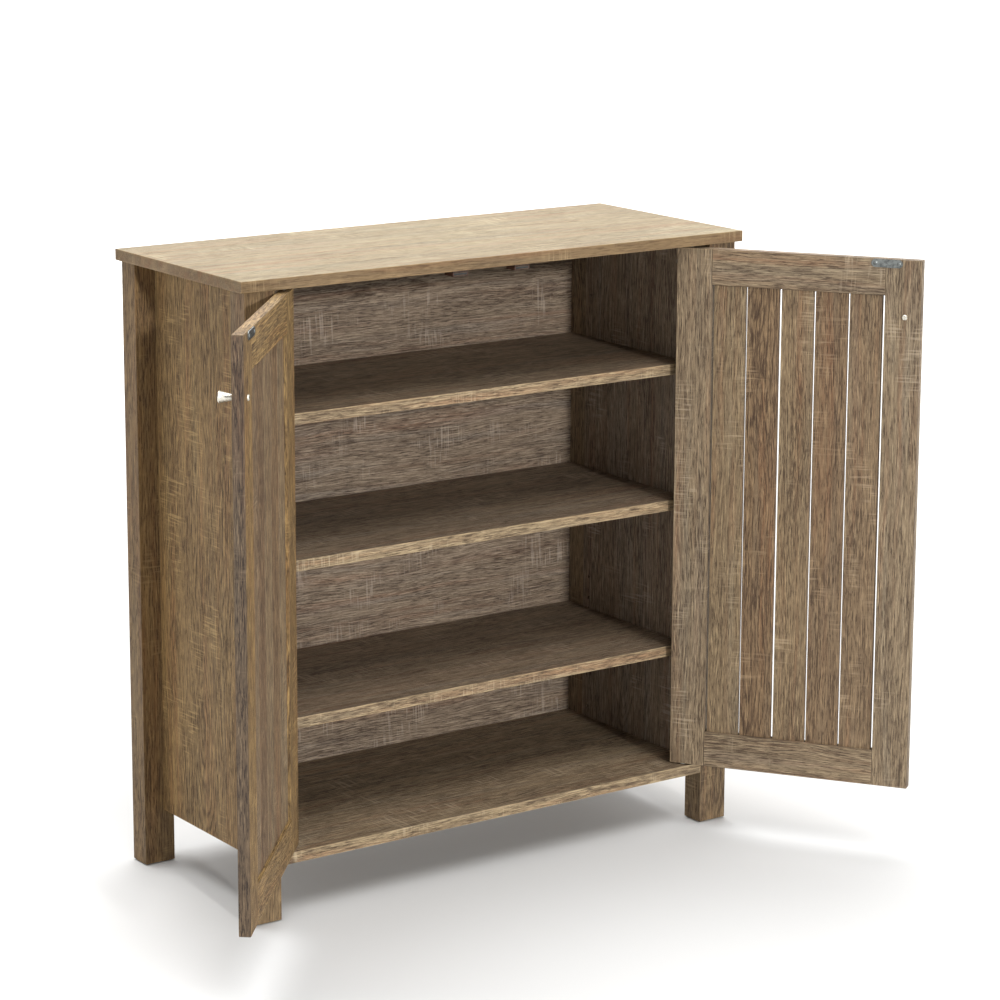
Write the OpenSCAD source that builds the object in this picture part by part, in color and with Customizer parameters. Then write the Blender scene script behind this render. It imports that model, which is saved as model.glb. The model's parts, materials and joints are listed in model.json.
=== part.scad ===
// Two-door shoe cabinet: four posts, recessed side panels, three shelves, slatted doors on pivot pins.
// Millimetres, +Z up, floor at z = 0. The doors are drawn open, as the rest pose.

/* [Cabinet] */
// Width of the top panel
top_w = 800; // [600:10:1000]
// Depth of the top panel
top_d = 330; // [280:5:400]
// Height from the floor to the top surface
total_h = 850; // [700:10:1000]
// Thickness of the boards
board_t = 15; // [12:1:18]
// How far the top stands out past the posts at each side
side_overhang = 8; // [0:1:20]
// How far the top stands out past the posts at the front
front_overhang = 7; // [0:1:20]
// Thickness of the back panel
back_t = 3; // [2:0.5:6]
// Width of a post, seen from the front
post_w = 45; // [30:1:60]
// Depth of a post, seen from the side
post_d = 35; // [25:1:60]
// Height of the bottom panel's underside above the floor
bottom_z = 75; // [30:5:150]

/* [Shelves] */
// Height of the upper shelf's top face
shelf_1_z = 664; // [560:1:760]
// Height of the middle shelf's top face
shelf_2_z = 470; // [360:1:540]
// Height of the lower shelf's top face
shelf_3_z = 258; // [160:1:340]
// Distance from the front of the posts to the front of a shelf
shelf_setback = 37; // [30:1:80]
// Radius of a shelf pin
shelf_pin_r = 2.5; // [2:0.5:4]

/* [Doors] */
// Opening angle of the left door as drawn
left_open = 131; // [0:1:132]
// Opening angle of the right door as drawn
right_open = 125; // [0:1:132]
// Gap between a door and the post beside it
door_gap = 3; // [2:0.5:6]
// Gap between the two closed doors
middle_gap = 3; // [2:0.5:6]
// Gap under the doors
floor_gap = 2; // [2:0.5:6]
// Gap over the doors
head_gap = 4; // [3:0.5:8]
// Distance from the front of the posts to a closed door's face
door_setback = 8; // [2:0.5:20]
// Width of the door stiles
stile_w = 50; // [35:1:80]
// Height of the door rails
rail_h = 50; // [35:1:80]
// Mean gap beside each door slat
slat_gap = 2.6; // [1.5:0.1:8]
// Thickness of the door slats
slat_t = 6.4; // [5:0.1:9]
// Distance from the door's hinge edge to the pivot axis
pivot_in = 17.5; // [12:0.5:25]
// Distance from the door's outer face to the pivot axis
pivot_back = 5.5; // [4:0.5:10]
// Radius of a pivot pin
pivot_r = 2.5; // [2:0.5:4]

/* [Fittings] */
// Largest radius of a knob
knob_r = 7.5; // [5:0.5:15]
// Length of a knob
knob_len = 20; // [12:1:35]
// Distance from a door's free edge to the knob
knob_in = 22; // [15:1:45]
// Height of the knobs above the floor
knob_z = 753; // [500:1:800]
// Distance from a door's free edge to the strike plate's middle
strike_in = 48; // [30:1:90]
// Length of a strike plate
strike_len = 43; // [25:1:60]

/* [Hidden] */
$fn = 48;

wood = [0.50, 0.42, 0.33];
end_wood = [0.72, 0.60, 0.44];
steel = [0.62, 0.62, 0.60];
nickel = [0.78, 0.77, 0.74];
brown = [0.16, 0.11, 0.08];
black = [0.08, 0.08, 0.08];
nylon = [0.80, 0.79, 0.74];

// carcass, measured from its own middle
half_w = top_w / 2 - side_overhang;
in_w = half_w - post_w;
frame_d = top_d - front_overhang - back_t;
front_y = -frame_d / 2;
back_y = frame_d / 2;
panel_y = back_y - post_d;
side_mid = in_w + board_t / 2;
under_top = total_h - board_t;
floor_top = bottom_z + board_t;
glide_h = 1.5;
post_mid_x = half_w - post_w / 2;
post_mid_y = back_y - post_d / 2;

// clearances
fit = 0.05;
slack = 0.5;

// fixing rows
cam_y = 95;
cam_r = 7.5;
cam_deep = 12.5;
cam_from_edge = 34;
cam_bolt_r = 3;
dowel_r = 4;
dowel_half = 15;
frame_dowel_z = [160, 400, 690];
pin_row_y = [-95, 111];
pin_deep = 8;
shelf_tops = [shelf_1_z, shelf_2_z, shelf_3_z];
spare_hole_z = [106, 272.5, 304.5, 725];
nail_side_z = [120, 290, 460, 630, 800];
nail_floor_x = [-240, 0, 240];
nail_r = 0.8;
nail_len = 20;

// doors, drawn about the pivot axis: x runs to the free edge, y to the inner face
door_w = (2 * in_w - 2 * door_gap - middle_gap) / 2;
door_t = board_t;
door_z0 = floor_top + floor_gap;
door_z1 = under_top - head_gap;
x0 = -pivot_in;
x1 = door_w - pivot_in;
y0 = -pivot_back;
y1 = door_t - pivot_back;
hinge_x = in_w - door_gap - pivot_in;
hinge_y = front_y + door_setback + pivot_back;
rail_len = door_w - 2 * stile_w;
slat_w = (rail_len - 6 * slat_gap) / 5;
gap_share = [0.99, 0.73, 1.16, 0.87, 0.86, 1.39];
groove_t = slat_t + 0.1;
groove_deep = 10;
mid_y = (y0 + y1) / 2;
door_dowel_z = [door_z0 + 13, door_z0 + 31, door_z1 - 13, door_z1 - 31];
pin_in_door = 28;
pin_out = 11;
bush_r = 4;
bush_deep = 12;
flange_r = 5;
flange_h = 1.5;
knob_x = x1 - knob_in;
strike_x = x1 - strike_in;
strike_h = 11;
strike_t = 1.2;
strike_z = door_z1 - 0.5 - strike_h / 2;
strike_screw_dx = strike_len / 2 - strike_h / 2;

// catches
catch_x = hinge_x - strike_x;
catch_y = front_y + door_setback + door_t + strike_t + 0.3;
catch_w = 24;
catch_d = 20;
catch_h = 13;
pole_w = 20;
pole_d = 12;
pole_t = 1;
magnet_h = 2.2;

// the origin sits under the middle of the whole outline with both doors open as drawn
knob_reach = pivot_back + knob_len;
reach_left = (knob_x) * -cos(left_open) + knob_reach * sin(left_open) + knob_r * -cos(left_open);
reach_right = (knob_x) * -cos(right_open) + knob_reach * sin(right_open) + knob_r * -cos(right_open);
front_left = x1 * sin(left_open) + y1 * -cos(left_open);
front_right = x1 * sin(right_open) + y1 * -cos(right_open);
front_most = hinge_y - max(front_left, front_right);
origin_x = (reach_right - reach_left) / 2;
origin_y = (front_most + back_y + back_t) / 2;

module placed() {
  translate([-origin_x, -origin_y, 0]) children();
}

module in_left_door() {
  placed() translate([-hinge_x, hinge_y, 0]) rotate([0, 0, -left_open]) children();
}

module in_right_door() {
  placed() translate([hinge_x, hinge_y, 0]) rotate([0, 0, right_open]) mirror([1, 0, 0]) children();
}

module block(from, to) {
  translate(from) cube(to - from);
}

module rod_x(x, y, z, len, r) {
  translate([x, y, z]) rotate([0, 90, 0]) cylinder(h = len, r = r);
}

module rod_y(x, y, z, len, r) {
  translate([x, y, z]) rotate([-90, 0, 0]) cylinder(h = len, r = r);
}

module rod_z(x, y, z, len, r) {
  translate([x, y, z]) cylinder(h = len, r = r);
}

// every carcass dowel: posts to top, posts to side panels, bottom panel to posts
module dowel_rods(r, more) {
  for (sx = [-1, 1], sy = [-1, 1]) {
    rod_z(sx * post_mid_x, sy * post_mid_y, under_top - 18 - more, 30 + 2 * more, r);
    rod_x(sx * in_w - dowel_half - more, sy * post_mid_y, bottom_z + board_t / 2,
      2 * dowel_half + 2 * more, r);
    for (z = frame_dowel_z) {
      rod_y(sx * side_mid, sy * panel_y - dowel_half - more, z, 2 * dowel_half + 2 * more, r);
    }
  }
}

module cam_rods_top(r, more) {
  for (sx = [-1, 1], sy = [-1, 1]) {
    rod_z(sx * side_mid, sy * cam_y, under_top - cam_from_edge, cam_from_edge + 11 + more, r);
  }
}

module cam_rods_floor(r, more) {
  for (sx = [-1, 1], sy = [-1, 1]) {
    rod_x(sx > 0 ? in_w - cam_from_edge : -in_w - 11 - more, sy * cam_y, bottom_z + board_t / 2,
      cam_from_edge + 11 + more, r);
  }
}

module cam_discs(r, more) {
  for (sx = [-1, 1], sy = [-1, 1]) {
    rod_x(sx > 0 ? in_w - more : -in_w - cam_deep, sy * cam_y, under_top - cam_from_edge,
      cam_deep + more, r);
    rod_z(sx * (in_w - cam_from_edge), sy * cam_y, bottom_z - more, cam_deep + more, r);
  }
}

module glide_shafts(r, more) {
  for (sx = [-1, 1], sy = [-1, 1]) {
    rod_z(sx * post_mid_x, sy * post_mid_y, glide_h - 1, 12 + more, r);
  }
}

module nail_shafts(r, more) {
  for (sx = [-1, 1], z = nail_side_z) {
    rod_y(sx * post_mid_x, back_y + back_t - nail_len - more, z, nail_len + 2 * more, r);
  }
  for (x = nail_floor_x) {
    rod_y(x, back_y + back_t - nail_len - more, bottom_z + board_t / 2, nail_len + 2 * more, r);
  }
}

module catch_screw_shafts(r, more) {
  for (sx = [-1, 1], dx = [-6.5, 6.5]) {
    rod_z(sx * catch_x + dx, catch_y + 16, under_top - 14, 25 + more, r);
  }
}

module top_panel() {
  color(wood) placed() difference() {
    block([-top_w / 2, front_y - front_overhang, under_top], [top_w / 2, back_y + back_t, total_h]);
    dowel_rods(dowel_r + fit, slack);
    cam_rods_top(cam_bolt_r + fit, slack);
    catch_screw_shafts(1.6 + fit, slack);
    for (sx = [-1, 1]) {
      rod_z(sx * hinge_x, hinge_y, under_top - 1, 1 + bush_deep + fit, bush_r + fit);
    }
  }
}

module post(sx, sy) {
  color(wood) placed() difference() {
    block([sx > 0 ? in_w : -half_w, sy > 0 ? panel_y : front_y, glide_h],
      [sx > 0 ? half_w : -in_w, sy > 0 ? back_y : front_y + post_d, under_top]);
    dowel_rods(dowel_r + fit, slack);
    glide_shafts(1.2 + fit, slack);
    nail_shafts(nail_r + fit, slack);
  }
}

module front_left_post() {
  post(-1, -1);
}

module front_right_post() {
  post(1, -1);
}

module back_left_post() {
  post(-1, 1);
}

module back_right_post() {
  post(1, 1);
}

module side_panel(sx) {
  color(wood) placed() difference() {
    block([sx > 0 ? in_w : -in_w - board_t, -panel_y, bottom_z],
      [sx > 0 ? in_w + board_t : -in_w, panel_y, under_top]);
    dowel_rods(dowel_r + fit, slack);
    cam_rods_top(cam_bolt_r + 0.6, slack);
    cam_rods_floor(cam_bolt_r + fit, slack);
    cam_discs(cam_r + fit, slack);
    for (y = pin_row_y) {
      for (z = shelf_tops) {
        rod_x(sx > 0 ? in_w - 1 : -in_w - pin_deep - slack, y, z - board_t - shelf_pin_r,
          pin_deep + slack + 1, shelf_pin_r + fit);
      }
      for (z = spare_hole_z) {
        rod_x(sx > 0 ? in_w - 1 : -in_w - pin_deep - slack, y, z,
          pin_deep + slack + 1, shelf_pin_r + fit);
      }
    }
  }
}

module left_side_panel() {
  side_panel(-1);
}

module right_side_panel() {
  side_panel(1);
}

module bottom_panel() {
  color(wood) placed() difference() {
    block([-in_w, front_y, bottom_z], [in_w, back_y, floor_top]);
    dowel_rods(dowel_r + fit, slack);
    cam_rods_floor(cam_bolt_r + 0.6, slack);
    cam_discs(cam_r + fit, slack);
    nail_shafts(nail_r + fit, slack);
    for (sx = [-1, 1]) {
      rod_z(sx * hinge_x, hinge_y, floor_top - bush_deep - fit, bush_deep + 1, bush_r + fit);
    }
  }
}

module back_panel() {
  color(wood) placed() difference() {
    block([-half_w + 7, back_y, bottom_z + 1], [half_w - 7, back_y + back_t, under_top - 1]);
    nail_shafts(nail_r + fit, slack);
  }
}

module shelf(z) {
  color(wood) placed()
    block([-in_w + 1, front_y + shelf_setback, z - board_t], [in_w - 1, back_y - 0.5, z]);
}

module upper_shelf() {
  shelf(shelf_1_z);
}

module middle_shelf() {
  shelf(shelf_2_z);
}

module lower_shelf() {
  shelf(shelf_3_z);
}

module shelf_pins() {
  color(steel) placed() {
    for (sx = [-1, 1], y = pin_row_y, z = shelf_tops) {
      translate([sx * (in_w + pin_deep), y, z - board_t - shelf_pin_r]) rotate([0, -90 * sx, 0])
        rotate_extrude() polygon([[0, 0], [shelf_pin_r, 0], [shelf_pin_r, pin_deep],
          [shelf_pin_r - 0.5, pin_deep + 0.3], [shelf_pin_r - 0.5, pin_deep + 0.9],
          [shelf_pin_r, pin_deep + 1.2], [shelf_pin_r, pin_deep + 8], [shelf_pin_r - 0.8, pin_deep + 9],
          [0, pin_deep + 9]]);
    }
  }
}

module carcass_dowels() {
  color(end_wood) placed() dowel_rods(dowel_r, 0);
}

module cam_bolt() {
  rotate_extrude() polygon([[0, 0], [2.6, 0], [2.6, 2], [1.6, 3.4], [1.6, 6], [2.4, 8],
    [2.4, 33], [3, 34], [3, 45], [0, 45]]);
}

module cam_bolts() {
  color(steel) placed() {
    for (sx = [-1, 1], sy = [-1, 1]) {
      translate([sx * side_mid, sy * cam_y, under_top - cam_from_edge]) cam_bolt();
      translate([sx * (in_w - cam_from_edge), sy * cam_y, bottom_z + board_t / 2])
        rotate([0, 90 * sx, 0]) cam_bolt();
    }
  }
}

module cam_nut() {
  difference() {
    cylinder(h = cam_deep - 0.5, r = cam_r);
    translate([0, 0, board_t / 2]) rotate([0, 90, 0]) translate([0, 0, -1])
      cylinder(h = cam_r + 3, r = 3.2);
    translate([-3.2, -0.6, -1]) cube([6.4, 1.2, 3]);
    translate([-0.6, -3.2, -1]) cube([1.2, 6.4, 3]);
  }
}

module cam_nuts() {
  color(steel) placed() {
    for (sx = [-1, 1], sy = [-1, 1]) {
      translate([sx * in_w, sy * cam_y, under_top - cam_from_edge]) rotate([0, 90 * sx, 0])
        rotate([0, 0, sx > 0 ? 180 : 0]) cam_nut();
      translate([sx * (in_w - cam_from_edge), sy * cam_y, bottom_z])
        rotate([0, 0, sx > 0 ? 0 : 180]) cam_nut();
    }
  }
}

module back_nails() {
  color(steel) placed() {
    nail_shafts(nail_r, 0);
    for (sx = [-1, 1], z = nail_side_z) {
      rod_y(sx * post_mid_x, back_y + back_t, z, 0.6, 2);
    }
    for (x = nail_floor_x) {
      rod_y(x, back_y + back_t, bottom_z + board_t / 2, 0.6, 2);
    }
  }
}

module foot_glides() {
  color(nylon) placed() {
    glide_shafts(1.2, 0);
    for (sx = [-1, 1], sy = [-1, 1]) {
      rod_z(sx * post_mid_x, sy * post_mid_y, 0, glide_h, 10);
    }
  }
}

module catch_body(sx) {
  cx = sx * catch_x;
  color(brown) placed() difference() {
    block([cx - catch_w / 2, catch_y + 0.6, under_top - catch_h],
      [cx + catch_w / 2, catch_y + catch_d, under_top]);
    block([cx - pole_w / 2 - 0.1, catch_y - 1, strike_z - magnet_h / 2 - pole_t - 0.1],
      [cx + pole_w / 2 + 0.1, catch_y + pole_d + 0.1, strike_z + magnet_h / 2 + pole_t + 0.1]);
    for (dx = [-6.5, 6.5]) {
      rod_z(cx + dx, catch_y + 16, under_top - catch_h - 1, catch_h + 2, 1.8);
      rod_z(cx + dx, catch_y + 16, under_top - catch_h - 1, 3, 3.3);
    }
  }
}

module catch_magnet(sx) {
  cx = sx * catch_x;
  color(black) placed()
    block([cx - pole_w / 2, catch_y + 0.6, strike_z - magnet_h / 2],
      [cx + pole_w / 2, catch_y + pole_d, strike_z + magnet_h / 2]);
}

module catch_poles(sx) {
  cx = sx * catch_x;
  color(steel) placed() {
    for (dz = [-1, 1]) {
      block([cx - pole_w / 2, catch_y, strike_z + dz * (magnet_h / 2 + pole_t / 2) - pole_t / 2],
        [cx + pole_w / 2, catch_y + pole_d, strike_z + dz * (magnet_h / 2 + pole_t / 2) + pole_t / 2]);
    }
  }
}

module left_catch_body() {
  catch_body(-1);
}

module left_catch_magnet() {
  catch_magnet(-1);
}

module left_catch_poles() {
  catch_poles(-1);
}

module right_catch_body() {
  catch_body(1);
}

module right_catch_magnet() {
  catch_magnet(1);
}

module right_catch_poles() {
  catch_poles(1);
}

module catch_screws() {
  color(steel) placed() {
    for (sx = [-1, 1], dx = [-6.5, 6.5]) {
      translate([sx * catch_x + dx, catch_y + 16, under_top - catch_h + 0.2])
        screw(3, 1.8, 1.6, 24);
    }
  }
}

// a pan-head screw that points up from its head
module screw(head_r, head_h, r, len) {
  difference() {
    rotate_extrude() polygon([[0, 0], [head_r * 0.72, 0], [head_r * 0.93, head_h * 0.35],
      [head_r, head_h * 0.7], [head_r, head_h], [r, head_h], [r, len - r], [0, len]]);
    translate([-head_r * 0.6, -0.35, -1]) cube([head_r * 1.2, 0.7, 1 + head_h * 0.55]);
    translate([-0.35, -head_r * 0.6, -1]) cube([0.7, head_r * 1.2, 1 + head_h * 0.55]);
  }
}

module bushing() {
  difference() {
    union() {
      cylinder(h = bush_deep, r = bush_r);
      translate([0, 0, bush_deep]) cylinder(h = flange_h, r = flange_r);
    }
    translate([0, 0, 1]) cylinder(h = bush_deep + flange_h, r = pivot_r + fit);
  }
}

module pivot_bushings(sx) {
  color(nylon) placed() {
    translate([sx * hinge_x, hinge_y, floor_top - bush_deep]) bushing();
    translate([sx * hinge_x, hinge_y, under_top + bush_deep]) rotate([180, 0, 0]) bushing();
  }
}

module left_pivot_bushings() {
  pivot_bushings(-1);
}

module right_pivot_bushings() {
  pivot_bushings(1);
}

// door pieces, about the pivot axis
module door_dowel_rods(r, more) {
  for (x = [x0 + stile_w, x1 - stile_w], z = door_dowel_z) {
    rod_x(x - dowel_half - more, mid_y, z, 2 * dowel_half + 2 * more, r);
  }
}

module pivot_holes() {
  rod_z(0, 0, door_z0 - 1, pin_in_door + 1 + slack, pivot_r + 0.02);
  rod_z(0, 0, door_z1 - pin_in_door - slack, pin_in_door + 1 + slack, pivot_r + 0.02);
}

module strike_holes(r) {
  for (dx = [-1, 1]) {
    rod_y(strike_x + dx * strike_screw_dx, y1 - 10, strike_z, 12, r);
  }
}

module hinge_stile_shape() {
  difference() {
    block([x0, y0, door_z0], [x0 + stile_w, y1, door_z1]);
    door_dowel_rods(dowel_r + fit, slack);
    pivot_holes();
  }
}

module free_stile_shape() {
  difference() {
    block([x1 - stile_w, y0, door_z0], [x1, y1, door_z1]);
    door_dowel_rods(dowel_r + fit, slack);
    strike_holes(1.5 + fit);
    rod_y(knob_x, y0 - 1, knob_z, door_t + 2, 2.2);
  }
}

module rail_shape(is_top) {
  z = is_top ? door_z1 - rail_h : door_z0;
  g = is_top ? door_z1 - rail_h - 1 : door_z0 + rail_h - groove_deep;
  difference() {
    block([x0 + stile_w, y0, z], [x1 - stile_w, y1, z + rail_h]);
    block([x0 + stile_w - 1, mid_y - groove_t / 2, g],
      [x1 - stile_w + 1, mid_y + groove_t / 2, g + groove_deep + 1]);
    door_dowel_rods(dowel_r + fit, slack);
    strike_holes(1.5 + fit);
  }
}

// the slats sit loose in their grooves, so the gaps differ a little
function gaps_before(i) = i == 0 ? 0 : gap_share[i - 1] * slat_gap + gaps_before(i - 1);

module slat_shape(i) {
  x = x0 + stile_w + (i - 1) * slat_w + gaps_before(i);
  block([x, mid_y - slat_t / 2, door_z0 + rail_h - groove_deep + 0.5],
    [x + slat_w, mid_y + slat_t / 2, door_z1 - rail_h + groove_deep - 0.5]);
}

module pivot_pins_shape() {
  rod_z(0, 0, door_z0 - floor_gap - pin_out + 1, pin_out - 1 + floor_gap + pin_in_door, pivot_r);
  rod_z(0, 0, door_z1 - pin_in_door, pin_in_door + head_gap + pin_out - 1, pivot_r);
}

module knob_shape() {
  translate([knob_x, y0, knob_z]) rotate([90, 0, 0]) difference() {
    rotate_extrude() polygon([[0, 0], [3.8, 0], [3.6, 0.8], [3.9, 3], [4.6, 7], [5.6, 12],
      [knob_r - 0.8, knob_len - 3.2], [knob_r, knob_len - 1.6], [knob_r - 0.3, knob_len - 0.5],
      [knob_r - 1.2, knob_len], [0, knob_len]]);
    translate([0, 0, -1]) cylinder(h = 12, r = 2.05);
  }
}

module knob_screw_shape() {
  translate([knob_x, y1 + 2.4, knob_z]) rotate([90, 0, 0]) screw(4, 2.4, 2, door_t + 2.4 + 9.5);
}

module strike_plate_shape() {
  difference() {
    union() {
      block([strike_x - strike_screw_dx, y1, strike_z - strike_h / 2],
        [strike_x + strike_screw_dx, y1 + strike_t, strike_z + strike_h / 2]);
      for (dx = [-1, 1]) {
        rod_y(strike_x + dx * strike_screw_dx, y1, strike_z, strike_t, strike_h / 2);
      }
    }
    translate([0, 1, 0]) strike_holes(1.7);
  }
}

module strike_screws_shape() {
  for (dx = [-1, 1]) {
    translate([strike_x + dx * strike_screw_dx, y1 + strike_t + 1.1, strike_z]) rotate([90, 0, 0])
      screw(2.7, 1.1, 1.5, 12);
  }
}

module left_hinge_stile() {
  color(wood) in_left_door() hinge_stile_shape();
}

module left_free_stile() {
  color(wood) in_left_door() free_stile_shape();
}

module left_top_rail() {
  color(wood) in_left_door() rail_shape(true);
}

module left_bottom_rail() {
  color(wood) in_left_door() rail_shape(false);
}

module left_slat(i) {
  color(wood) in_left_door() slat_shape(i);
}

module left_door_dowels() {
  color(end_wood) in_left_door() door_dowel_rods(dowel_r, 0);
}

module left_pivot_pins() {
  color(steel) in_left_door() pivot_pins_shape();
}

module left_knob() {
  color(nickel) in_left_door() knob_shape();
}

module left_knob_screw() {
  color(steel) in_left_door() knob_screw_shape();
}

module left_strike_plate() {
  color(steel) in_left_door() strike_plate_shape();
}

module left_strike_screws() {
  color(steel) in_left_door() strike_screws_shape();
}

module right_hinge_stile() {
  color(wood) in_right_door() hinge_stile_shape();
}

module right_free_stile() {
  color(wood) in_right_door() free_stile_shape();
}

module right_top_rail() {
  color(wood) in_right_door() rail_shape(true);
}

module right_bottom_rail() {
  color(wood) in_right_door() rail_shape(false);
}

module right_slat(i) {
  color(wood) in_right_door() slat_shape(i);
}

module right_door_dowels() {
  color(end_wood) in_right_door() door_dowel_rods(dowel_r, 0);
}

module right_pivot_pins() {
  color(steel) in_right_door() pivot_pins_shape();
}

module right_knob() {
  color(nickel) in_right_door() knob_shape();
}

module right_knob_screw() {
  color(steel) in_right_door() knob_screw_shape();
}

module right_strike_plate() {
  color(steel) in_right_door() strike_plate_shape();
}

module right_strike_screws() {
  color(steel) in_right_door() strike_screws_shape();
}

top_panel();
front_left_post();
front_right_post();
back_left_post();
back_right_post();
left_side_panel();
right_side_panel();
bottom_panel();
back_panel();
upper_shelf();
middle_shelf();
lower_shelf();
shelf_pins();
carcass_dowels();
cam_bolts();
cam_nuts();
back_nails();
foot_glides();
left_catch_body();
left_catch_magnet();
left_catch_poles();
right_catch_body();
right_catch_magnet();
right_catch_poles();
catch_screws();
left_pivot_bushings();
right_pivot_bushings();
left_hinge_stile();
left_free_stile();
left_top_rail();
left_bottom_rail();
left_slat(1);  // left_slat_1
left_slat(2);  // left_slat_2
left_slat(3);  // left_slat_3
left_slat(4);  // left_slat_4
left_slat(5);  // left_slat_5
left_door_dowels();
left_pivot_pins();
left_knob();
left_knob_screw();
left_strike_plate();
left_strike_screws();
right_hinge_stile();
right_free_stile();
right_top_rail();
right_bottom_rail();
right_slat(1);  // right_slat_1
right_slat(2);  // right_slat_2
right_slat(3);  // right_slat_3
right_slat(4);  // right_slat_4
right_slat(5);  // right_slat_5
right_door_dowels();
right_pivot_pins();
right_knob();
right_knob_screw();
right_strike_plate();
right_strike_screws();
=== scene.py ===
"""Shoe cabinet with open slatted doors: weathered-oak boards, small metal and plastic fittings."""

import json
import math

import bmesh
import bpy
import numpy as np
from mathutils import Matrix, Vector


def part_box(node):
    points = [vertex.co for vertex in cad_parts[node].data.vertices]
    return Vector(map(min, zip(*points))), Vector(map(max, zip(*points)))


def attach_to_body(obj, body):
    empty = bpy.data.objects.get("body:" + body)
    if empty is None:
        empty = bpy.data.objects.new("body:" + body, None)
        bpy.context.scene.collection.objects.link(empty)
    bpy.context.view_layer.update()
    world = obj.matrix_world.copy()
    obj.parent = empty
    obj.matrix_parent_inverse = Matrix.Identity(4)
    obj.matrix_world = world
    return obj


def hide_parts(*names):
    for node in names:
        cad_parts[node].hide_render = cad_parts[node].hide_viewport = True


MM = 0.001

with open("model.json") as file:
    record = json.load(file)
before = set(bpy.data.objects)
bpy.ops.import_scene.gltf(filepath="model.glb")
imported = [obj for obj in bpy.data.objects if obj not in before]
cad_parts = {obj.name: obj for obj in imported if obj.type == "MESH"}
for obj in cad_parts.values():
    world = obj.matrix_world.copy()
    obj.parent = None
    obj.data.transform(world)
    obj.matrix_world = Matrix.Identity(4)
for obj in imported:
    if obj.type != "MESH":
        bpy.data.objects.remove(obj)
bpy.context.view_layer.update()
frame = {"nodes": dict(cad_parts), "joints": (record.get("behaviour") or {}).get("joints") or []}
scene = bpy.context.scene
joints = {joint["name"]: joint for joint in frame["joints"]}


# ---------------------------------------------------------------- camera and light

CAMERA_AT = Vector((-2.3673, -3.4403, 1.4938))
CAMERA_YAW, CAMERA_PITCH, CAMERA_ROLL = 34.89, 11.77, 0.22
LENS_MM, SENSOR_MM = 115.2, 36.0
FRAME_SHIFT = -0.08
SKY_STRENGTH = 0.4


def aim(yaw, pitch, roll):
    """Camera axes for a yaw from +Y towards +X, a pitch below the horizon and a roll, in degrees."""
    a, p, r = (math.radians(angle) for angle in (yaw, pitch, roll))
    forward = Vector((math.sin(a) * math.cos(p), math.cos(a) * math.cos(p), -math.sin(p)))
    right = Vector((math.cos(a), -math.sin(a), 0))
    up = right.cross(forward)
    across = right * math.cos(r) + up * math.sin(r)
    upward = up * math.cos(r) - right * math.sin(r)
    return Matrix((across, upward, -forward)).transposed()


camera_data = bpy.data.cameras.new("camera")
camera = bpy.data.objects.new("camera", camera_data)
scene.collection.objects.link(camera)
scene.camera = camera
camera_data.sensor_width = SENSOR_MM
camera_data.lens = LENS_MM
camera_data.shift_y = FRAME_SHIFT
camera_data.clip_start = 0.1
camera_data.clip_end = 200
axes = aim(CAMERA_YAW, CAMERA_PITCH, CAMERA_ROLL)
camera.matrix_world = Matrix.LocRotScale(CAMERA_AT, axes.to_quaternion(), None)


def add_light(name, kind, strength):
    data = bpy.data.lights.new(name, kind)
    data.energy = strength
    light = bpy.data.objects.new(name, data)
    scene.collection.objects.link(light)
    return light


def softbox(name, at, target, size, watts):
    """A rectangle of light, size metres wide and high, that faces target."""
    light = add_light(name, "AREA", watts)
    light.data.shape = "RECTANGLE"
    light.data.size, light.data.size_y = size
    light.location = at
    light.rotation_euler = (Vector(target) - Vector(at)).to_track_quat("-Z", "Y").to_euler()


def sky_lamp(name, azimuth, elevation, spread, strength):
    """Light from far off. Azimuth 0 comes from the front of the cabinet, 180 from behind it."""
    light = add_light(name, "SUN", strength)
    light.data.angle = math.radians(spread)
    a, e = math.radians(azimuth), math.radians(elevation)
    source = Vector((math.sin(a) * math.cos(e), -math.cos(a) * math.cos(e), math.sin(e)))
    light.rotation_euler = source.to_track_quat("Z", "Y").to_euler()


sky_lamp("overhead_front", 0, 62, 32, 1.55)
sky_lamp("overhead_back", 180, 70, 50, 3.0)
sky_lamp("front_key", -6, 13.5, 4, 1.85)
softbox("left_softbox", (-3.6, -0.8, 1.5), (0, 0, 0.45), (2.0, 2.0), 12)
softbox("back_card", (4.0, 5.75, 2.7), (0, 0, 0.8), (9.0, 4.6), 300)

world = bpy.data.worlds.new("studio")
scene.world = world
world.use_nodes = True
sky = world.node_tree.nodes["Background"]
sky.inputs["Color"].default_value = (1.0, 1.0, 1.0, 1)
sky.inputs["Strength"].default_value = SKY_STRENGTH
scene.view_settings.view_transform = "Standard"
scene.view_settings.look = "None"


# ---------------------------------------------------------------- node helpers


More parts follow.
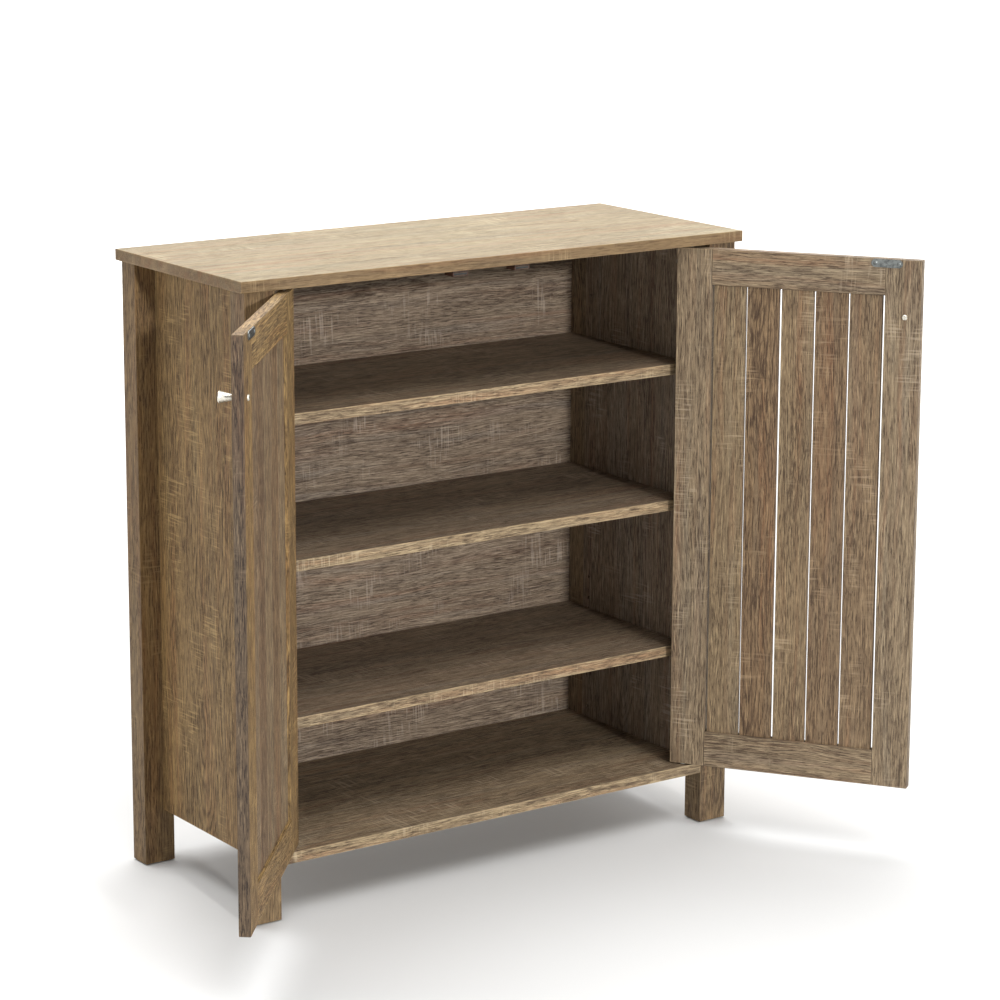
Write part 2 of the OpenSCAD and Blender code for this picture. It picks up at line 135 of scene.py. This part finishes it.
class Graph:
    """Builds a node material: every call returns an output socket, and takes sockets or numbers."""

    def __init__(self, name):
        self.material = bpy.data.materials.new(name)
        self.material.use_nodes = True
        self.tree = self.material.node_tree
        self.shader = self.tree.nodes["Principled BSDF"]

    def put(self, socket, value):
        if isinstance(value, bpy.types.NodeSocket):
            self.tree.links.new(value, socket)
        elif value is not None:
            socket.default_value = value

    def add(self, kind, **settings):
        made = self.tree.nodes.new(kind)
        for key, value in settings.items():
            setattr(made, key, value)
        return made

    def attribute(self, name, output="Vector"):
        return self.add("ShaderNodeAttribute", attribute_name=name).outputs[output]

    def place(self):
        return self.add("ShaderNodeTexCoord").outputs["Object"]

    def math(self, operation, a, b=None, c=None):
        made = self.add("ShaderNodeMath", operation=operation)
        for socket, value in zip(made.inputs, (a, b, c)):
            self.put(socket, value)
        return made.outputs[0]

    def times(self, a, b):
        return self.math("MULTIPLY", a, b)

    def vector(self, operation, a, b=None, scale=None):
        made = self.add("ShaderNodeVectorMath", operation=operation)
        self.put(made.inputs[0], a)
        self.put(made.inputs[1], b)
        if scale is not None:
            self.put(made.inputs["Scale"], scale)
        return made.outputs[0]

    def split(self, vector):
        made = self.add("ShaderNodeSeparateXYZ")
        self.put(made.inputs[0], vector)
        return made.outputs[0], made.outputs[1], made.outputs[2]

    def join(self, x, y, z):
        made = self.add("ShaderNodeCombineXYZ")
        for socket, value in zip(made.inputs, (x, y, z)):
            self.put(socket, value)
        return made.outputs[0]

    def noise(self, vector, scale=1.0, detail=2.0, rough=0.5, output="Fac"):
        made = self.add("ShaderNodeTexNoise")
        self.put(made.inputs["Vector"], vector)
        self.put(made.inputs["Scale"], scale)
        self.put(made.inputs["Detail"], detail)
        self.put(made.inputs["Roughness"], rough)
        return made.outputs[output]

    def streaks(self, place, along, across, detail=2.0, rough=0.5, output="Fac"):
        """Noise on a board, with so many features for each mm along the grain and across it."""
        stretched = self.vector("MULTIPLY", place, (along, across, across))
        return self.noise(stretched, detail=detail, rough=rough, output=output)

    def remap(self, value, low, high, to_low=0.0, to_high=1.0, smooth=False):
        kind = "SMOOTHSTEP" if smooth else "LINEAR"
        made = self.add("ShaderNodeMapRange", interpolation_type=kind)
        for socket, number in zip(made.inputs, (value, low, high, to_low, to_high)):
            self.put(socket, number)
        return made.outputs[0]

    def mix(self, fac, a, b):
        made = self.add("ShaderNodeMix", data_type="RGBA")
        self.put(made.inputs["Factor"], fac)
        self.put(made.inputs[6], a)
        self.put(made.inputs[7], b)
        return made.outputs[2]

    def bump(self, height, strength, distance):
        made = self.add("ShaderNodeBump")
        self.put(made.inputs["Height"], height)
        self.put(made.inputs["Strength"], strength)
        self.put(made.inputs["Distance"], distance)
        self.tree.links.new(made.outputs[0], self.shader.inputs["Normal"])

    def surface(self, **inputs):
        for name, value in inputs.items():
            self.put(self.shader.inputs[name.replace("_", " ")], value)
        return self.material


def srgb(r, g, b):
    """Linear colour from 0-255 screen values."""
    screen = (r / 255, g / 255, b / 255)
    return tuple(v / 12.92 if v <= 0.04045 else ((v + 0.055) / 1.055) ** 2.4 for v in screen) + (1.0,)


# ---------------------------------------------------------------- wood foil

TO_MM = (1000.0, 1000.0, 1000.0)


def growth_rings(g, place, wander, dip_wander, seed, here):
    """Late-wood lines, 0 to 1, of a plain-sawn board whose pith runs at a slant under the face."""
    along, across, deep = g.split(here)
    off = g.math("SUBTRACT", g.math("FRACT", g.times(seed, 7.31)), 0.5)
    bow = g.math("ADD", g.math("MULTIPLY_ADD", wander, 40.0, across), g.times(off, 60.0))
    dip = g.math("ADD", g.math("MULTIPLY_ADD", along, 0.07, g.times(dip_wander, 70.0)), deep)
    ring = g.math("SQRT", g.math("ADD", g.times(bow, bow), g.math("MULTIPLY_ADD", dip, dip, 40.0)))
    ripple = g.streaks(place, 0.010, 0.10)
    ring = g.math("MULTIPLY_ADD", ripple, 3.0, ring)
    wave = g.math("MULTIPLY_ADD", g.math("SINE", g.times(ring, 1.35)), 0.5, 0.5)
    zone = g.remap(g.streaks(place, 0.0035, 0.018, detail=1.0), 0.36, 0.58)
    figured = g.remap(g.math("FRACT", g.times(seed, 3.17)), 0.5, 0.8, 0.3, 1.0)
    return g.times(g.math("POWER", wave, 3.0), g.times(zone, figured))


def saw_marks(g, place, here):
    """Groups of fine pale lines across the grain, 0 to 1."""
    across = g.split(here)[1]
    slanted = g.vector("ADD", place, g.join(g.times(across, 0.03), 0.0, 0.0))
    lines = g.remap(g.streaks(slanted, 0.34, 0.022, detail=1.5, rough=0.6), 0.50, 0.66, smooth=True)
    groups = g.remap(g.streaks(place, 0.010, 0.016, rough=0.55), 0.52, 0.68, smooth=True)
    return g.times(lines, groups)


def oak_foil(name):
    """Weathered-oak foil, drawn from what board() stores on each mesh: grain holds metres along,
    across and through the board, half its half size, and the rest one number or tint a board."""
    g = Graph(name)
    seed = g.attribute("seed", "Fac")
    lively = g.attribute("lively", "Fac")
    here = g.vector("MULTIPLY", g.attribute("grain"), TO_MM)
    place = g.vector("ADD", here, g.vector("SCALE", (417.0, 231.0, 113.0), scale=seed))

    # slow wander of the grain
    slow = g.split(g.streaks(place, 0.005, 0.016, output="Color"))
    wander = g.math("SUBTRACT", slow[0], 0.5)
    dip_wander = g.math("SUBTRACT", slow[1], 0.5)
    bent = g.vector("ADD", place, g.join(0.0, g.times(wander, 13.0), 0.0))

    # rings, streaks, crackle and open pores, all drawn out along the grain
    late = growth_rings(g, place, wander, dip_wander, seed, here)
    band = g.streaks(bent, 0.0012, 0.045, rough=0.6)
    streak = g.streaks(bent, 0.0022, 0.21, detail=4.0, rough=0.66)
    crackle = g.streaks(bent, 0.034, 0.70, detail=4.0, rough=0.74)
    hair = g.streaks(bent, 0.010, 0.72, detail=3.0, rough=0.68)
    pores = g.streaks(g.vector("ADD", bent, (53.0, 29.0, 71.0)), 0.055, 0.74, detail=3.0, rough=0.7)
    crowd = g.math("MULTIPLY_ADD", g.streaks(place, 0.007, 0.03), 0.22, g.times(late, 0.08))
    pore = g.remap(g.math("ADD", pores, crowd), 0.60, 0.73, smooth=True)
    saw = saw_marks(g, place, here)
    warm = g.streaks(bent, 0.0026, 0.07)
    grey = g.streaks(g.vector("ADD", bent, (91.0, 57.0, 13.0)), 0.003, 0.06)

    # colour: broad tones first, then the fine figure, whose contrast follows lively
    base = g.mix(g.remap(streak, 0.33, 0.67), srgb(106, 90, 72), srgb(148, 132, 110))
    base = g.mix(g.remap(band, 0.36, 0.64, 0.0, 0.5), base, srgb(150, 134, 110))
    base = g.mix(g.remap(warm, 0.50, 0.70, 0.0, 0.60), base, srgb(138, 103, 78))
    base = g.mix(g.remap(grey, 0.50, 0.70, 0.0, 0.55), base, srgb(134, 127, 114))
    figure = (
        (g.times(late, 0.52), srgb(78, 61, 46)),
        (g.remap(hair, 0.50, 0.68, 0.0, 0.70), srgb(76, 60, 46)),
        (g.times(pore, 0.62), srgb(62, 48, 37)),
        (g.remap(crackle, 0.52, 0.68, 0.0, 0.52), srgb(188, 172, 146)),
        (g.remap(crackle, 0.48, 0.32, 0.0, 0.50), srgb(72, 57, 44)),
    )
    for amount, colour in figure:
        base = g.mix(g.times(amount, lively), base, colour)
    base = g.mix(g.times(saw, 0.42), base, srgb(184, 172, 154))

    # edges: paler in patches near each edge, and painted shade in a dark line at the very edge, standing in for
    # the shade in the seams between parts
    size = g.vector("MULTIPLY", g.attribute("half"), TO_MM)
    a, b, c = g.split(g.vector("SUBTRACT", size, g.vector("ABSOLUTE", here)))
    # of the distances to the three pairs of faces, the second smallest is the distance to an edge
    inner = g.math("MAXIMUM", g.math("MINIMUM", a, b), g.math("MINIMUM", g.math("MAXIMUM", a, b), c))
    patches = g.remap(g.streaks(place, 0.05, 0.3, detail=3.0), 0.36, 0.62)
    pale_edge = g.times(g.remap(inner, 2.2, 0.6), patches)
    base = g.mix(g.times(pale_edge, 0.40), base, srgb(178, 160, 132))
    # painted shade: darker within about 0.75 mm of each edge, scaled by the board's joint amount
    rim = g.times(g.remap(inner, 0.75, 0.30), g.attribute("joint", "Fac"))
    base = g.mix(rim, base, srgb(58, 45, 35))
    # the tint paints light and shade on most boards and faces, on top of their own tone
    base = g.vector("MULTIPLY", base, g.attribute("tint"))

    roughness = g.math("MULTIPLY_ADD", pore, 0.16, g.remap(crackle, 0.3, 0.7, 0.68, 0.56))
    sunk = g.math("ADD", pore, g.times(hair, 0.5))
    height = g.math("SUBTRACT", g.math("MULTIPLY_ADD", saw, 0.5, crackle), sunk)
    g.bump(height, 0.4, 0.0003)
    return g.surface(Base_Color=base, Roughness=roughness)


# ---------------------------------------------------------------- other finishes


def metal(name, colour, dark, rough, brushed=(1.0, 1.0, 1.0), grain=900.0, stain=0.4):
    """Metal with fine brushing and dull patches."""
    g = Graph(name)
    place = g.place()
    lines = g.noise(g.vector("MULTIPLY", place, brushed), scale=grain, detail=3.0, rough=0.6)
    patch = g.noise(place, scale=160.0, detail=4.0, rough=0.65)
    dull = g.remap(patch, 0.42, 0.68, smooth=True)
    tone = g.mix(g.times(dull, stain), colour, dark)
    tone = g.mix(g.remap(lines, 0.35, 0.75, 0.0, 0.25), tone, dark)
    g.bump(lines, 0.12, 0.0001)
    roughness = g.math("MULTIPLY_ADD", dull, 0.18, g.remap(lines, 0.3, 0.7, rough - 0.05, rough + 0.06))
    return g.surface(Base_Color=tone, Metallic=1.0, Roughness=roughness)


def plastic(name, colour, pale, rough):
    """Moulded plastic with a fine spark-eroded texture and faint rub marks."""
    g = Graph(name)
    place = g.place()
    grit = g.noise(place, scale=2600.0, detail=2.0, rough=0.6)
    marks = g.noise(place, scale=210.0, detail=5.0, rough=0.7)
    tone = g.mix(g.remap(marks, 0.45, 0.75, 0.0, 0.5), colour, pale)
    tone = g.mix(g.remap(grit, 0.4, 0.7, 0.0, 0.15), tone, pale)
    g.bump(grit, 0.2, 0.0001)
    return g.surface(Base_Color=tone, Roughness=g.remap(marks, 0.3, 0.7, rough - 0.06, rough + 0.08))


def raw_wood(name):
    """Turned beech dowel: pale, with short flecks."""
    g = Graph(name)
    fleck = g.noise(g.place(), scale=420.0, detail=4.0, rough=0.65)
    tone = g.mix(g.remap(fleck, 0.4, 0.7), srgb(214, 186, 146), srgb(184, 150, 108))
    g.bump(fleck, 0.2, 0.0002)
    return g.surface(Base_Color=tone, Roughness=g.remap(fleck, 0.3, 0.7, 0.6, 0.75))


def floor_paint(name):
    """Even pale grey, which the lights lift to white."""
    g = Graph(name)
    soft = g.noise(g.place(), scale=0.8, detail=2.0)
    tone = g.mix(soft, (0.655, 0.655, 0.65, 1), (0.67, 0.67, 0.665, 1))
    g.shader.inputs["Specular IOR Level"].default_value = 0.0
    return g.surface(Base_Color=tone, Roughness=0.9)


oak = oak_foil("oak_foil")
zinc = metal("zinc", srgb(196, 196, 190), srgb(130, 129, 124), 0.34)
strike = metal("strike_steel", srgb(138, 142, 140), srgb(74, 76, 76), 0.38, (1.0, 1.0, 14.0), 260.0, 0.6)
pole_steel = metal("pole_steel", srgb(104, 92, 80), srgb(58, 48, 40), 0.5, stain=0.6)
cam_metal = metal("cam_zinc", srgb(168, 168, 164), srgb(108, 108, 105), 0.45)
nickel = metal("satin_nickel", srgb(226, 222, 210), srgb(168, 160, 144), 0.27, grain=700.0, stain=0.3)
brown = plastic("brown_plastic", srgb(62, 36, 26), srgb(92, 64, 50), 0.42)
ferrite = plastic("magnet", srgb(40, 40, 41), srgb(74, 74, 74), 0.6)
nylon = plastic("nylon", srgb(206, 203, 192), srgb(226, 224, 216), 0.45)
dowel = raw_wood("dowel_wood")


# ---------------------------------------------------------------- mesh helpers

CARCASS = Matrix.Identity(4)
ROD_SIDES = 32


def door_place(name, sign):
    """Where a door's own axes stand at rest: on its hinge, turned out by its whole opening angle."""
    joint = joints[name]
    pivot = Vector((joint["pos_m"][0], joint["pos_m"][1], 0))
    angle = -math.radians(joint["range_deg"][0]) * sign
    return Matrix.Translation(pivot) @ Matrix.Rotation(angle, 4, "Z")


LEFT = door_place("left_door_hinge", -1)
RIGHT = door_place("right_door_hinge", 1)


def local_box(node, place):
    """Lowest and highest corner of a CAD node in a body's own axes."""
    back = np.array(place.inverted())
    points = np.array([v.co for v in frame["nodes"][node].data.vertices], float)
    points = points @ back[:3, :3].T + back[:3, 3]
    return Vector(points.min(0)), Vector(points.max(0))


def solid_of(name, build):
    made = bmesh.new()
    build(made)
    mesh = bpy.data.meshes.new(name)
    made.to_mesh(mesh)
    made.free()
    thing = bpy.data.objects.new(name, mesh)
    scene.collection.objects.link(thing)
    return thing


def fill_block(made, low, high, bevel=0.0):
    middle, size = (low + high) / 2, high - low
    shape = Matrix.Translation(middle) @ Matrix.Diagonal((*size, 1))
    new = bmesh.ops.create_cube(made, size=1.0, matrix=shape)
    if bevel:
        edges = list({e for v in new["verts"] for e in v.link_edges})
        bmesh.ops.bevel(made, geom=edges, offset=bevel, segments=2, profile=0.5, affect="EDGES",
                        clamp_overlap=True)


def fill_rod(made, start, end, radius):
    start, end = Vector(start), Vector(end)
    turn = (end - start).to_track_quat("Z", "Y").to_matrix().to_4x4()
    at = Matrix.Translation((start + end) / 2) @ turn
    bmesh.ops.create_cone(made, cap_ends=True, segments=ROD_SIDES, radius1=radius, radius2=radius,
                          depth=(end - start).length, matrix=at)


def rod(start, end, radius):
    return lambda made: fill_rod(made, start, end, radius)


def block(low, high):
    return lambda made: fill_block(made, low, high)


def apply_modifiers(thing):
    bpy.context.view_layer.update()
    final = bpy.data.meshes.new_from_object(thing.evaluated_get(bpy.context.evaluated_depsgraph_get()))
    thing.modifiers.clear()
    old, thing.data = thing.data, final
    bpy.data.meshes.remove(old)


def cut(thing, cutters):
    """Cuts the cutters, each a function that fills a bmesh, out of the piece."""
    for index, fill in enumerate(cutters):
        tool = solid_of(f"{thing.name}_tool_{index}", fill)
        step = thing.modifiers.new("cut", "BOOLEAN")
        step.operation = "DIFFERENCE"
        step.solver = "EXACT"
        step.object = tool
        apply_modifiers(thing)
        bpy.data.objects.remove(tool)


# ---------------------------------------------------------------- boards

seeds = np.random.default_rng(7)

# board tones, as a tint on the foil's own colours. PLAIN, GREY and the SLATS are the boards' own tones; the
# others are painted light and painted shade, lighter or darker by how light falls on each face
PLAIN = (0.99, 0.93, 0.83)
# painted shade: a darker, warmer tone matched to the faces on the left side, which stand in shade
PAINTED_SIDE_SHADE = (1.08, 0.86, 0.47)
# painted shade: a darker tone for the front posts and the top's front and end faces
PAINTED_SHADE_BROWN = (0.78, 0.65, 0.45)
# painted shade: darker still, for the back left post, whose front stands in shadow
PAINTED_DEEP_SHADE = (0.79, 0.61, 0.34)
GREY = (1.02, 0.99, 1.02)
# painted light: a lighter tone for the inner face of the right side panel
LIT_INNER_FACE = (1.16, 1.16, 1.24)
# painted light and painted sheen: a lighter tone for the top face
LIT_TOP_SHEEN = (1.18, 1.17, 0.92)
# painted light: a lighter tone for the lit front faces of the shelves and the bottom panel
LIT_FRONT_TONE = (1.14, 1.08, 0.91)
# painted highlight along the right door's free edge
FREE_EDGE_HIGHLIGHT = (1.40, 1.36, 1.24)
SHADED = (0.80, 0.75, 0.71)
# painted shade along the left door's free edge
FREE_EDGE_SHADE = (0.42, 0.35, 0.28)
SLATS = ((1.00, 0.91, 0.74), (0.88, 0.72, 0.54), (1.00, 0.89, 0.71), (0.86, 0.71, 0.55), (0.92, 0.80, 0.65))
LIT_FRONT_FACE = (1, -1, LIT_FRONT_TONE)


def attach(mesh, name, kind, values):
    layer = mesh.attributes.new(name, kind, "POINT")
    layer.data.foreach_set("value" if kind == "FLOAT" else "vector", values.astype(np.float32).ravel())


def board(node, body, place, grain, tone, bevel=0.6, cutters=(), lively=1.3, joint=0.0, edges=()):
    """A foiled board with eased edges, bevel mm wide, that stands for one CAD node.

    grain is the axis, 0 to 2, that its figure runs along. lively scales the figure's contrast,
    joint darkens its edges with painted shade, and edges lists (axis, side, tone) of the faces with their own
    tone, which paints light and shade on them.
    """
    low, high = local_box(node, place)
    thing = solid_of(f"{node}_board", lambda made: fill_block(made, low, high, bevel * MM))
    cut(thing, cutters)
    mesh = thing.data
    middle, half = (low + high) / 2, (high - low) / 2
    rest = sorted((a for a in range(3) if a != grain), key=lambda a: -half[a])
    order = [grain, *rest]
    points = np.array([v.co for v in mesh.vertices], float) - np.array(middle)
    count = len(points)
    tints = np.tile(np.array(tone), (count, 1))
    for axis, side, other in edges:
        tints[points[:, axis] * side > half[axis] - 0.5 * bevel * MM] = other
    attach(mesh, "grain", "FLOAT_VECTOR", points[:, order])
    attach(mesh, "half", "FLOAT_VECTOR", np.tile(np.array(half)[order], (count, 1)))
    attach(mesh, "tint", "FLOAT_VECTOR", tints * seeds.uniform(0.96, 1.04))
    attach(mesh, "seed", "FLOAT", np.full(count, seeds.uniform(0, 9)))
    attach(mesh, "lively", "FLOAT", np.full(count, lively))
    attach(mesh, "joint", "FLOAT", np.full(count, joint))
    mesh.transform(place)
    mesh.materials.clear()
    mesh.materials.append(oak)
    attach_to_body(thing, body)
    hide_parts(node)


# holes in the side panels and the bottom panel, where the CAD has them
PIN_R, PIN_HOLE_R, PIN_HOLE_DEEP = 2.5 * MM, 2.55 * MM, 8.5 * MM
SPARE_PIN_HEIGHTS = (106, 272.5, 304.5, 725)
CAM_HOLE_R, CAM_HOLE_DEEP = 7.6 * MM, 12.5 * MM
CAM_OFF_MIDDLE = 95 * MM
TOP_CAM_HEIGHT = 801 * MM
FLOOR_CAM_OFF_MIDDLE = 313 * MM


def panel_holes(sign):
    """Spare shelf-pin holes and cam holes in the inner face of the right (1) or left (-1) side panel."""
    low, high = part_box("right_side_panel" if sign > 0 else "left_side_panel")
    face = low.x if sign > 0 else high.x
    pins_low, pins_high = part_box("shelf_pins")
    middle = (low.y + high.y) / 2

    def hole(y, z, deep, radius):
        return rod((face - sign * MM, y, z), (face + sign * deep, y, z), radius)

    rows = (pins_low.y + PIN_R, pins_high.y - PIN_R)
    pins = [hole(y, z * MM, PIN_HOLE_DEEP, PIN_HOLE_R) for y in rows for z in SPARE_PIN_HEIGHTS]
    cam_rows = (middle - CAM_OFF_MIDDLE, middle + CAM_OFF_MIDDLE)
    return pins + [hole(y, TOP_CAM_HEIGHT, CAM_HOLE_DEEP, CAM_HOLE_R) for y in cam_rows]


def floor_holes():
    """Cam holes in the underside of the bottom panel."""
    low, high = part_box("bottom_panel")
    middle = (low + high) / 2
    holes = []
    for x in (-FLOOR_CAM_OFF_MIDDLE, FLOOR_CAM_OFF_MIDDLE):
        for y in (-CAM_OFF_MIDDLE, CAM_OFF_MIDDLE):
            at = Vector((middle.x + x, middle.y + y, low.z))
            holes.append(rod(at - Vector((0, 0, MM)), at + Vector((0, 0, CAM_HOLE_DEEP)), CAM_HOLE_R))
    return holes


# painted shade on the top's front and end faces, beside the painted light on its top face
top_shaded_edges = ((1, -1, PAINTED_SHADE_BROWN), (0, -1, PAINTED_SHADE_BROWN), (0, 1, PAINTED_SHADE_BROWN))
board("top_panel", "carcass", CARCASS, 0, LIT_TOP_SHEEN, 0.8, lively=0.6, edges=top_shaded_edges)
# painted shade on the posts, darkest on the back left one
board("front_left_post", "carcass", CARCASS, 2, PAINTED_SHADE_BROWN, joint=0.5)
board("front_right_post", "carcass", CARCASS, 2, PAINTED_SHADE_BROWN, joint=0.5)
board("back_left_post", "carcass", CARCASS, 2, PAINTED_DEEP_SHADE, joint=0.5)
board("back_right_post", "carcass", CARCASS, 2, PLAIN, joint=0.5)
# painted shade on the side panels, with painted light on the right panel's inner face
board("left_side_panel", "carcass", CARCASS, 2, PAINTED_SIDE_SHADE, 0.4, panel_holes(-1), lively=1.45, joint=0.5)
board("right_side_panel", "carcass", CARCASS, 2, PAINTED_SIDE_SHADE, 0.4, panel_holes(1), joint=0.5, edges=((0, -1, LIT_INNER_FACE),))
# painted light on the front faces of the bottom panel and the shelves; the shelves' own tone is painted shade
board("bottom_panel", "carcass", CARCASS, 0, PLAIN, 0.5, floor_holes(), edges=(LIT_FRONT_FACE,))
board("back_panel", "carcass", CARCASS, 0, GREY, 0.3, lively=1.35)
for level in ("upper", "middle", "lower"):
    board(f"{level}_shelf", "carcass", CARCASS, 0, SHADED, 0.7, edges=(LIT_FRONT_FACE,))


def rail_groove(low, high, slat_low, slat_high, top):
    """The groove that holds the slat ends, 10 mm deep in the rail's inner edge."""
    slack, deep = 0.05 * MM, 10 * MM
    bottom, ceiling = (low.z - MM, low.z + deep) if top else (high.z - deep, high.z + MM)
    return block(
        Vector((low.x - MM, slat_low.y - slack, bottom)), Vector((high.x + MM, slat_high.y + slack, ceiling))
    )


def door(side, place, tone, rim, lively):
    """A slatted door. rim is the tone painted on its free edge: painted shade on the left door, a painted
    highlight on the right.
    """
    body = f"{side}_door"
    finish = {"bevel": 0.7, "lively": lively}
    board(f"{side}_hinge_stile", body, place, 2, tone, joint=0.8, **finish)
    board(f"{side}_free_stile", body, place, 2, tone, joint=0.8, edges=((0, 1, rim),), **finish)
    for index, slat_tone in enumerate(SLATS, 1):
        board(f"{side}_slat_{index}", body, place, 2, slat_tone, joint=0.7, **finish)
    slat_low, slat_high = local_box(f"{side}_slat_1", place)
    for rail in ("top_rail", "bottom_rail"):
        low, high = local_box(f"{side}_{rail}", place)
        groove = rail_groove(low, high, slat_low, slat_high, rail == "top_rail")
        board(f"{side}_{rail}", body, place, 0, tone, cutters=[groove], joint=0.8, **finish)


# painted shade on the left door's frame and free edge, a painted highlight on the right door's free edge
door("left", LEFT, PAINTED_SIDE_SHADE, FREE_EDGE_SHADE, 1.8)
door("right", RIGHT, PLAIN, FREE_EDGE_HIGHLIGHT, 1.35)


# ---------------------------------------------------------------- fittings

FINISHES = (
    (zinc, ("shelf_pins", "cam_bolts", "back_nails", "left_pivot_pins", "right_pivot_pins")),
    (nickel, ("left_knob_screw", "right_knob_screw")),
    (strike, ("left_strike_plate", "right_strike_plate", "left_strike_screws", "right_strike_screws")),
    (pole_steel, ("catch_screws", "left_catch_poles", "right_catch_poles")),
    (brown, ("left_catch_body", "right_catch_body")),
    (ferrite, ("left_catch_magnet", "right_catch_magnet")),
    (nylon, ("foot_glides", "left_pivot_bushings", "right_pivot_bushings")),
    (dowel, ("carcass_dowels", "left_door_dowels", "right_door_dowels")),
    (cam_metal, ("cam_nuts",)),
)
for material, nodes in FINISHES:
    for node in nodes:
        mesh = frame["nodes"][node].data
        mesh.materials.clear()
        mesh.materials.append(material)

KNOB_SIDES = 64
# radius and distance from the door in mm, from the door outwards
KNOB_NECK = ((0, 0), (3.75, 0), (3.62, 0.4), (3.58, 1.2), (3.68, 2.2), (3.9, 3.2), (4.22, 5))
KNOB_FLARE = ((4.6, 7), (5.05, 9.5), (5.6, 12), (6.15, 14.3), (6.65, 16.4), (7.1, 17.8))
KNOB_RIM = ((7.34, 18.3), (7.38, 18.5), (7.34, 18.8), (7.2, 19.15), (6.95, 19.5), (6.55, 19.8))
KNOB_FACE = ((6.2, 19.93), (3.1, 19.98), (0, 19.98))


def knob(side, place):
    """A turned knob: slim neck, flared body and a rounded rim."""
    low, high = local_box(f"{side}_knob", place)
    middle = (low + high) / 2
    angles = [2 * math.pi * i / KNOB_SIDES for i in range(KNOB_SIDES)]

    def ring(made, radius, out):
        y = high.y - out * MM
        r = radius * MM
        if r == 0:
            return [made.verts.new((middle.x, y, middle.z))]
        return [made.verts.new((middle.x + r * math.cos(t), y, middle.z + r * math.sin(t))) for t in angles]

    def turn(made):
        profile = KNOB_NECK + KNOB_FLARE + KNOB_RIM + KNOB_FACE
        rings = [ring(made, radius, out) for radius, out in profile]
        for first, second in zip(rings, rings[1:]):
            for i in range(KNOB_SIDES):
                loop = [first[i % len(first)], first[(i + 1) % len(first)]]
                loop += [second[(i + 1) % len(second)], second[i % len(second)]]
                made.faces.new(list(dict.fromkeys(loop)))
        bmesh.ops.recalc_face_normals(made, faces=made.faces)
        for face in made.faces:
            face.smooth = True

    thing = solid_of(f"{side}_knob_turned", turn)
    thing.data.transform(place)
    thing.data.materials.append(nickel)
    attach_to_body(thing, f"{side}_door")
    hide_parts(f"{side}_knob")


knob("left", LEFT)
knob("right", RIGHT)


# ---------------------------------------------------------------- floor

ground = solid_of("studio_floor", lambda made: bmesh.ops.create_grid(made, x_segments=8, y_segments=8, size=30))
ground.data.materials.append(floor_paint("floor_paint"))
